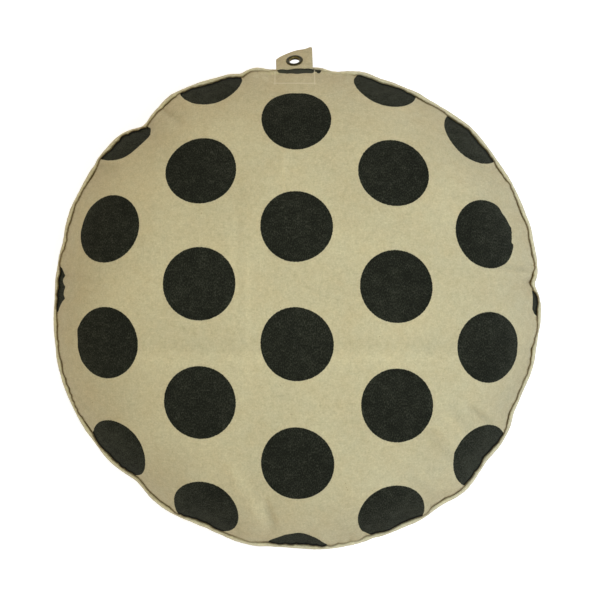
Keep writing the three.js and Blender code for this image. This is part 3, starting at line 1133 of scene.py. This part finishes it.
# How far the strip's tail runs towards the seam, and how much the piping rises and falls
PIPING_TAIL = 0.55
PIPING_RISE = 0.35
# The cover's reach is measured over this much cloth above the seam.
COVER_RISES = 16


def cover_reach(angle):
    """How far the cover stands out past the seam, at most."""
    here, outward = seam_line(angle)
    lengths = CROWN.length - np.arange(1, COVER_RISES + 1)[:, None]
    out = (CROWN.points(angle[None, :], lengths) - here) * outward
    return out.sum(-1).max(0)


def tube_faces(rings, count, joined=True):
    """Quads between rings of equal count. The last ring joins the first."""
    i = np.arange(rings if joined else rings - 1)[:, None]
    j = np.arange(count)[None, :]
    a = i * count + j
    b = i * count + (j + 1) % count
    c = (i + 1) % rings * count + j
    d = (i + 1) % rings * count + (j + 1) % count
    return np.stack([a, c, d, b], -1).reshape(-1, 4)


def make_piping():
    """A cord in bias-cut canvas: a round section carried along the seam, a little uneven. Towards the
    seam it has a short tail, and its strip's threads cross it at 45 degrees."""
    angle = np.arange(ROUND_STEPS) * 360 / ROUND_STEPS
    here, outward = seam_line(angle)
    centre = here + outward * (CLEARANCE + PIPING_RADIUS)
    section = np.arange(PIPING_SIDES) * 2 * np.pi / PIPING_SIDES
    lump = 1 + 0.02 * ripple(angle, 60, 130, 41) + 0.02 * ripple(angle, 150, 300, 42)
    radius = PIPING_SCENE_RADIUS * lump
    sideways = radius[:, None] * np.cos(section)
    sideways = sideways - PIPING_TAIL * np.clip(-np.cos(section), 0, 1) ** 4
    upward = radius[:, None] * np.sin(section)
    points = centre[:, None, :] + outward[:, None, :] * sideways[..., None]
    points[..., 2] += upward + PIPING_RISE * ripple(angle, 20, 70, 43)[:, None]
    faces = tube_faces(ROUND_STEPS, PIPING_SIDES)
    i, j = np.indices((ROUND_STEPS, PIPING_SIDES))
    along = np.stack([i, i + 1, i + 1, i], -1).ravel() * np.pi * OUTER_DIAMETER / ROUND_STEPS
    across = np.stack([j, j, j + 1, j + 1], -1).ravel() * np.pi * PIPING_DIAMETER / PIPING_SIDES
    spots = np.stack([along + across, along - across], -1) * np.sqrt(0.5) * MM
    beside = CLEARANCE + PIPING_RADIUS + sideways - cover_reach(angle)[:, None]
    values = {"from_cover": beside, "soil_and_shade": seam_darkness(angle)[:, None] + 0 * beside}
    return mesh_piece("piping_cord", points.reshape(-1, 3), faces.tolist(), PIPING_CANVAS, spots, values)


# The tab

TAB_CENTRE_X = -4
TAB_WIDTH = 45
TAB_CLOTH = 0.8
TAB_LAYER_GAP = 0.3
# It starts this far behind the piping's top, and this much further back under the cover. It lies this
# far to the right of the frame's tab.
TAB_ROOT_ANGLE = 14
TAB_TUCK = 10
TAB_SHIFT = -0.9
# Where the fold stands further out or less far: side, length, half width
TAB_EARS = ((-1, -3.2, 0.09), (0.5, -2.2, 0.28), (0.9, 1, 0.12), (1, -1.5, 0.05))
# How far its right edge is drawn in at the fold
TAB_TAPER = 0.8
TAB_LENGTH = 35
# Its droop at the left edge, the middle and the right edge, and how much more its end curls down
TAB_DROOPS = (66, 50, 41)
TAB_CURL = 13
TAB_HALF_THICKNESS = TAB_CLOTH + TAB_LAYER_GAP / 2
RIDE_RADIUS = PIPING_RADIUS + CLEARANCE + TAB_HALF_THICKNESS
EYELET_FROM_PIPING = 12.2
# The eyelet is set a little askew in the cloth
SEAT_TURN = -7
HOLE_RADIUS = 6.45
BARREL_WALL = 0.55
EYELET_RIM_RADIUS = 10.6
FLANGE_RISE = 1.1
WASHER_RADIUS = 9
WASHER_THICKNESS = 0.8
WASHER_BEVEL = 0.15
WASHER_ROUNDING = 0.35
# The metal stands this far off the cloth and off itself
METAL_GAP = 0.1
BARREL_RADIUS = HOLE_RADIUS + BARREL_WALL


def droop_at(side):
    """The tab's droop: a parabola through its left edge, middle and right edge."""
    left, middle, right = TAB_DROOPS
    return np.radians(middle + (right - left) / 2 * side + ((right + left) / 2 - middle) * side**2)


def piping_under(side):
    """The piping's centre under a line of the tab."""
    x = TAB_CENTRE_X + TAB_SHIFT + np.asarray(side) * TAB_WIDTH / 2
    angle = np.full_like(x, 90.0)
    for _ in range(6):
        centre = piping_centre(angle)
        angle = angle + np.degrees((centre[..., 0] - x) / centre[..., 1])
    return piping_centre(angle)


RUN_STEPS = 400


def tab_line(side):
    """The tab's middle layer along one line: run, and its points from the piping to the fold."""
    droop = droop_at(side)[:, None]
    step = (TAB_LENGTH + 4) / RUN_STEPS
    run = np.arange(RUN_STEPS + 1) * step
    middle = (run[1:] + run[:-1]) / 2
    slope = droop + math.radians(TAB_CURL) * smooth(2 * middle / TAB_LENGTH - 1)
    y = np.concatenate([0 * droop, np.cumsum(np.cos(slope) * step, 1)], 1)
    z = np.concatenate([0 * droop, -np.cumsum(np.sin(slope) * step, 1)], 1)
    return run, y, z


def tab_points(side, run):
    """Points of the tab's middle layer at sides from -1 to 1 and runs from the piping outward."""
    droop = droop_at(side)
    table, y, z = tab_line(side)
    start = piping_under(side)
    lean = droop[:, None] + np.minimum(run, 0)[None, :] / RIDE_RADIUS
    points = start[:, None, :] + np.zeros((1, len(run), 1))
    free = np.maximum(run, 0)
    points[..., 1] += RIDE_RADIUS * np.sin(lean) + np.array([np.interp(free, table, row) for row in y])
    points[..., 2] += RIDE_RADIUS * np.cos(lean) + np.array([np.interp(free, table, row) for row in z])
    return points


def eyelet_seat():
    """The eyelet's centre on the tab's middle layer and the way that its axis points."""
    near = tab_points(np.array([-0.02, 0, 0.02]), EYELET_FROM_PIPING + np.array([-1.0, 0, 1.0]))
    axis = np.cross(near[2, 1] - near[0, 1], near[1, 2] - near[1, 0])
    return near[1, 1], axis / np.linalg.norm(axis)


def turned_level(direction, angle):
    """A direction turned about the vertical."""
    x, y, z = direction
    c = math.cos(math.radians(angle))
    s = math.sin(math.radians(angle))
    return np.array([c * x - s * y, s * x + c * y, z])


SEAT_CENTRE, SEAT_AXIS = eyelet_seat()
SEAT_AXIS = turned_level(SEAT_AXIS, SEAT_TURN)
TAB_STEPS_ACROSS = 60
TAB_STEPS_ROUND = 16
TAB_STEPS_FREE = 44
FOLD_STEPS = 6


# Painted shade along the tab's creases, fold and edges, and painted light along one crease: from across,
# along to across, along, half width, how much darker
TAB_CREASE_SHADES = (
    (2, 5, 24, 4, 1.3, 0.07),
    (2, 8, 24, 7.5, 1.5, -0.04),
    (-24, 20, -8, 29, 1.5, 0.03),
    (12, 12, 20, 34, 2, 0.04),
    (-23, 34.5, 23, 34.5, 1.2, 0.08),
    (-22.3, 0, -22.3, 35, 0.8, 0.1),
    (22.3, 0, 22.3, 35, 0.8, 0.06),
)


def tab_shading(across, along):
    """How much painted shade the tab's creases, fold and edges get."""
    total = 0
    for *line, half, tone in TAB_CREASE_SHADES:
        run, aside = beside_line(across, along, line)
        total = total + tone * bell(aside / half) * smooth(6 * run + 0.5) * smooth(6.5 - 6 * run)
    return total


def make_tab():
    """The folded strip: one section of two layers carried across the tab's width."""
    side = np.linspace(-1, 1, TAB_STEPS_ACROSS + 1)
    wrap = (droop_at(side) + math.radians(TAB_ROOT_ANGLE + TAB_TUCK)) * RIDE_RADIUS
    shares = np.linspace(-1, 0, TAB_STEPS_ROUND + 1)[:-1]
    free = np.linspace(0, TAB_LENGTH, TAB_STEPS_FREE + 1)
    ears = sum(more * bell((side - at) / spread) for at, more, spread in TAB_EARS)
    rows = []
    for k, one in enumerate(side):
        run = np.concatenate([shares * wrap[k], free + ears[k] * (free / TAB_LENGTH) ** 6])
        rows.append(tab_points(np.array([one]), run)[0])
    sheet = np.array(rows)
    runs = np.concatenate([np.zeros(TAB_STEPS_ROUND), free])
    sheet[..., 0] -= TAB_TAPER * np.maximum(side, 0)[:, None] ** 2 * runs / TAB_LENGTH
    away = np.linalg.norm(sheet - SEAT_CENTRE, axis=-1)
    lower_rim = EYELET_FROM_PIPING - EYELET_RIM_RADIUS
    share = (1 - smooth((away - EYELET_RIM_RADIUS - 1) / 6)) * smooth(runs / lower_rim)
    off = (sheet - SEAT_CENTRE) @ SEAT_AXIS
    sheet = sheet - SEAT_AXIS * (off * share)[..., None]
    outward = np.gradient(sheet, axis=1)
    outward /= np.linalg.norm(outward, axis=-1, keepdims=True)
    normal = np.cross(np.gradient(sheet, axis=0), outward)
    normal /= np.linalg.norm(normal, axis=-1, keepdims=True)
    last = sheet.shape[1] - 1
    outer = TAB_HALF_THICKNESS
    inner = TAB_LAYER_GAP / 2
    fold = np.arange(1, FOLD_STEPS) * np.pi / FOLD_STEPS
    there = np.arange(last + 1)
    back = there[::-1]
    order = np.concatenate([there, np.full(len(fold), last), back, there, back])
    lift = np.concatenate(
        [there * 0 + outer, outer * np.cos(fold), back * 0 - outer, there * 0 - inner, back * 0 + inner]
    )
    reach = np.concatenate([there * 0, outer * np.sin(fold), back * 0, there * 0, back * 0])
    loop = sheet[:, order] + normal[:, order] * lift[None, :, None]
    loop = loop + outward[:, order] * reach[None, :, None]
    count = loop.shape[1]
    half = last + 1
    parts = np.cumsum([half, len(fold), half, half])
    top, turn_over, under, under_inside, top_inside = np.split(np.arange(count), parts)
    upper = np.stack([top[:-1], top[1:], top_inside[::-1][1:], top_inside[::-1][:-1]], -1)
    lower = np.stack([under[::-1][1:], under[::-1][:-1], under_inside[:-1], under_inside[1:]], -1)
    at_fold = np.concatenate([top[-1:], turn_over, under[:1], under_inside[-1:], top_inside[:1]])
    near_end = [*upper.tolist(), *lower.tolist(), at_fold.tolist()]
    far = (len(side) - 1) * count
    far_end = [[far + v for v in face[::-1]] for face in near_end]
    faces = [*tube_faces(len(side), count, joined=False).tolist(), *near_end, *far_end]
    flat = np.concatenate([shares * wrap.mean(), free])
    at_turn = np.full(len(fold), TAB_LENGTH)
    strip = np.concatenate([flat, at_turn, 2 * TAB_LENGTH - flat[::-1], flat, flat[::-1]])
    across = (side[:, None] * TAB_WIDTH / 2 + 0 * strip[None, :]).ravel()
    along = (strip[None, :] + 0 * side[:, None]).ravel()
    spots = np.stack([across, along], -1) * MM
    corners = np.concatenate([np.array(face) for face in faces])
    # Painted shade along the tab's creases, fold and edges
    values = {"crease": tab_shading(across, along)}
    return mesh_piece("folded_tab", loop.reshape(-1, 3), faces, TAB_CANVAS, spots[corners], values)


def punch_hole(tab):
    """Cuts the eyelet's hole through both layers."""
    steps = 64
    turned = np.arange(steps) * 2 * np.pi / steps
    ring = (BARREL_RADIUS + CLEARANCE) * np.stack([np.cos(turned), np.sin(turned), 0 * turned], -1)
    deep = np.array([0, 0, 4 * TAB_HALF_THICKNESS])
    points = place_on_seat(np.concatenate([ring - deep, ring + deep]))
    j = np.arange(steps)
    k = (j + 1) % steps
    faces = np.stack([j, k, steps + k, steps + j], -1).tolist()
    faces += [j[::-1].tolist(), (steps + j).tolist()]
    punch = mesh_piece("punch", points, faces, TAB_CANVAS)
    cut = tab.modifiers.new("hole", "BOOLEAN")
    cut.operation = "DIFFERENCE"
    cut.solver = "EXACT"
    cut.object = punch
    bpy.context.view_layer.objects.active = tab
    bpy.ops.object.modifier_apply(modifier=cut.name)
    bpy.data.objects.remove(punch)


def place_on_seat(points):
    """Turns points from the eyelet's own frame, with its axis along Z, onto its seat."""
    turned = Vector((0, 0, 1)).rotation_difference(Vector(SEAT_AXIS)).to_matrix()
    return points @ np.array(turned).T + SEAT_CENTRE


def turned_ring(name, profile, wear, steps=96):
    """A ring turned from a closed profile of radius, height and wear, seated in the tab."""
    radius, height = np.array(profile).T
    angle = np.arange(steps)[:, None] * 2 * np.pi / steps
    ring = np.stack([radius * np.cos(angle), radius * np.sin(angle), height + 0 * angle], -1)
    faces = tube_faces(steps, len(profile)).tolist()
    values = {"wear": np.tile(wear(radius), steps)}
    return mesh_piece(name, place_on_seat(ring.reshape(-1, 3)), faces, BRASS, None, values)


def eyelet_wear(radius):
    """Rubbed at the hole and a little at the outer edge."""
    hole = 1 - smooth((radius - HOLE_RADIUS) / 0.7)
    edge = smooth((radius - EYELET_RIM_RADIUS + 0.5) / 0.5)
    return np.maximum(0.75 * hole, 0.4 * edge)


def make_eyelet():
    """A rolled flange on the tab's face, running down into the barrel."""
    face = TAB_HALF_THICKNESS + METAL_GAP
    back = -TAB_HALF_THICKNESS - CLEARANCE - WASHER_THICKNESS
    middle = (HOLE_RADIUS + EYELET_RIM_RADIUS) / 2
    half = (EYELET_RIM_RADIUS - HOLE_RADIUS) / 2
    roll = np.linspace(np.pi, 0, 22)
    height = FLANGE_RISE + CLEARANCE - METAL_GAP
    dome = [(middle + half * np.cos(a), face + height * np.sin(a) ** 0.8) for a in roll]
    profile = dome[:-1] + [(EYELET_RIM_RADIUS, face), (BARREL_RADIUS, face)]
    profile += [(BARREL_RADIUS, back), (HOLE_RADIUS, back)]
    return turned_ring("brass_eyelet", profile[::-1], eyelet_wear)


def make_washer():
    """The flat washer that the barrel is set over, behind the tab."""
    face = -TAB_HALF_THICKNESS - METAL_GAP
    back = face - WASHER_THICKNESS
    inner = BARREL_RADIUS + METAL_GAP
    profile = [
        (inner, face),
        (inner, back + WASHER_BEVEL),
        (inner + WASHER_BEVEL, back),
        (WASHER_RADIUS - WASHER_ROUNDING, back),
        (WASHER_RADIUS - 0.1, back + 0.12),
        (WASHER_RADIUS, back + WASHER_ROUNDING),
        (WASHER_RADIUS, face),
    ]
    return turned_ring("brass_washer", profile, np.zeros_like)


cushion = make_cushion()
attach(cushion, "root")
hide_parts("cushion")

piping = make_piping()
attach(piping, "root")
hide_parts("piping")

tab = make_tab()
punch_hole(tab)
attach(tab, "root")
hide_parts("tab")

eyelet = make_eyelet()
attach(eyelet, "root")
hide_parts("eyelet")

washer = make_washer()
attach(washer, "root")
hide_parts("washer")

# Floor, light and camera

# In metres: the floor reaches this far each way and lies this far below the pouf.
FLOOR_REACH = 6.0
FLOOR_SINK = 0.0005

floor_mesh = bpy.data.meshes.new("floor")
floor_corners = [(x * FLOOR_REACH, y * FLOOR_REACH, 0) for x, y in ((-1, -1), (1, -1), (1, 1), (-1, 1))]
floor_mesh.from_pydata(floor_corners, [], [(0, 1, 2, 3)])
floor_mesh.materials.append(pale_floor())
floor = bpy.data.objects.new("floor", floor_mesh)
bpy.context.scene.collection.objects.link(floor)
floor.location.z = -FLOOR_SINK
floor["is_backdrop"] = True

# Soft lamps: place and size in metres, power in watts, tint
LAMPS = {
    "key": ((2.1, 0, 2.6), 1.6, 51, (0.55, 0.73, 1)),
    "overhead": ((-0.1, 0.2, 3.2), 1.8, 50, (0.94, 1, 0.74)),
    "front": ((0, -2.3, 2.2), 1.6, 17, (0.76, 0.88, 1)),
    "back": ((0, 2.3, 2.2), 1.6, 6, (1, 0.82, 0.85)),
}
LAMPS_FACE = Vector((0, 0, 0.1))
WORLD_TINT = (1, 0.69, 0.7, 1)
WORLD_STRENGTH = 0.277


def soft_light(name, place, size, power, tint):
    """A large square lamp that faces the pouf."""
    lamp = bpy.data.lights.new(name, "AREA")
    lamp.size = size
    lamp.energy = power
    lamp.color = tint
    made = bpy.data.objects.new(name, lamp)
    made.location = place
    made.rotation_euler = (LAMPS_FACE - Vector(place)).to_track_quat("-Z", "Y").to_euler()
    bpy.context.scene.collection.objects.link(made)


for lamp_name, settings in LAMPS.items():
    soft_light(lamp_name, *settings)
world = bpy.data.worlds.new("studio")
world.use_nodes = True
background = world.node_tree.nodes["Background"]
background.inputs["Color"].default_value = WORLD_TINT
background.inputs["Strength"].default_value = WORLD_STRENGTH
bpy.context.scene.world = world
bpy.context.scene.view_settings.view_transform = "Standard"

# A picture pixel's size at the seam, in millimetres, and the picture's width in pixels
PIXEL = 1.2294
PICTURE_WIDTH = 600
# The camera's place over the pouf, in metres, and its sensor's width in millimetres
CAMERA_X = 0.00184
CAMERA_Y = 0.00984
CAMERA_HEIGHT = 6.0
SENSOR = 36.0
camera_data = bpy.data.cameras.new("photo view")
camera_data.sensor_width = SENSOR
camera_data.lens = SENSOR * (CAMERA_HEIGHT - SEAM_HEIGHT * MM) / (PICTURE_WIDTH * PIXEL * MM)
camera_data.clip_end = 50
camera = bpy.data.objects.new("photo view", camera_data)
camera.location = (CAMERA_X, CAMERA_Y, CAMERA_HEIGHT)
bpy.context.scene.collection.objects.link(camera)
bpy.context.scene.camera = camera

bpy.context.view_layer.update()
sizes = {"cad": CAD_BOX, "visual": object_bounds()}
sizes = {key: [list(corner) for corner in box] for key, box in sizes.items()}
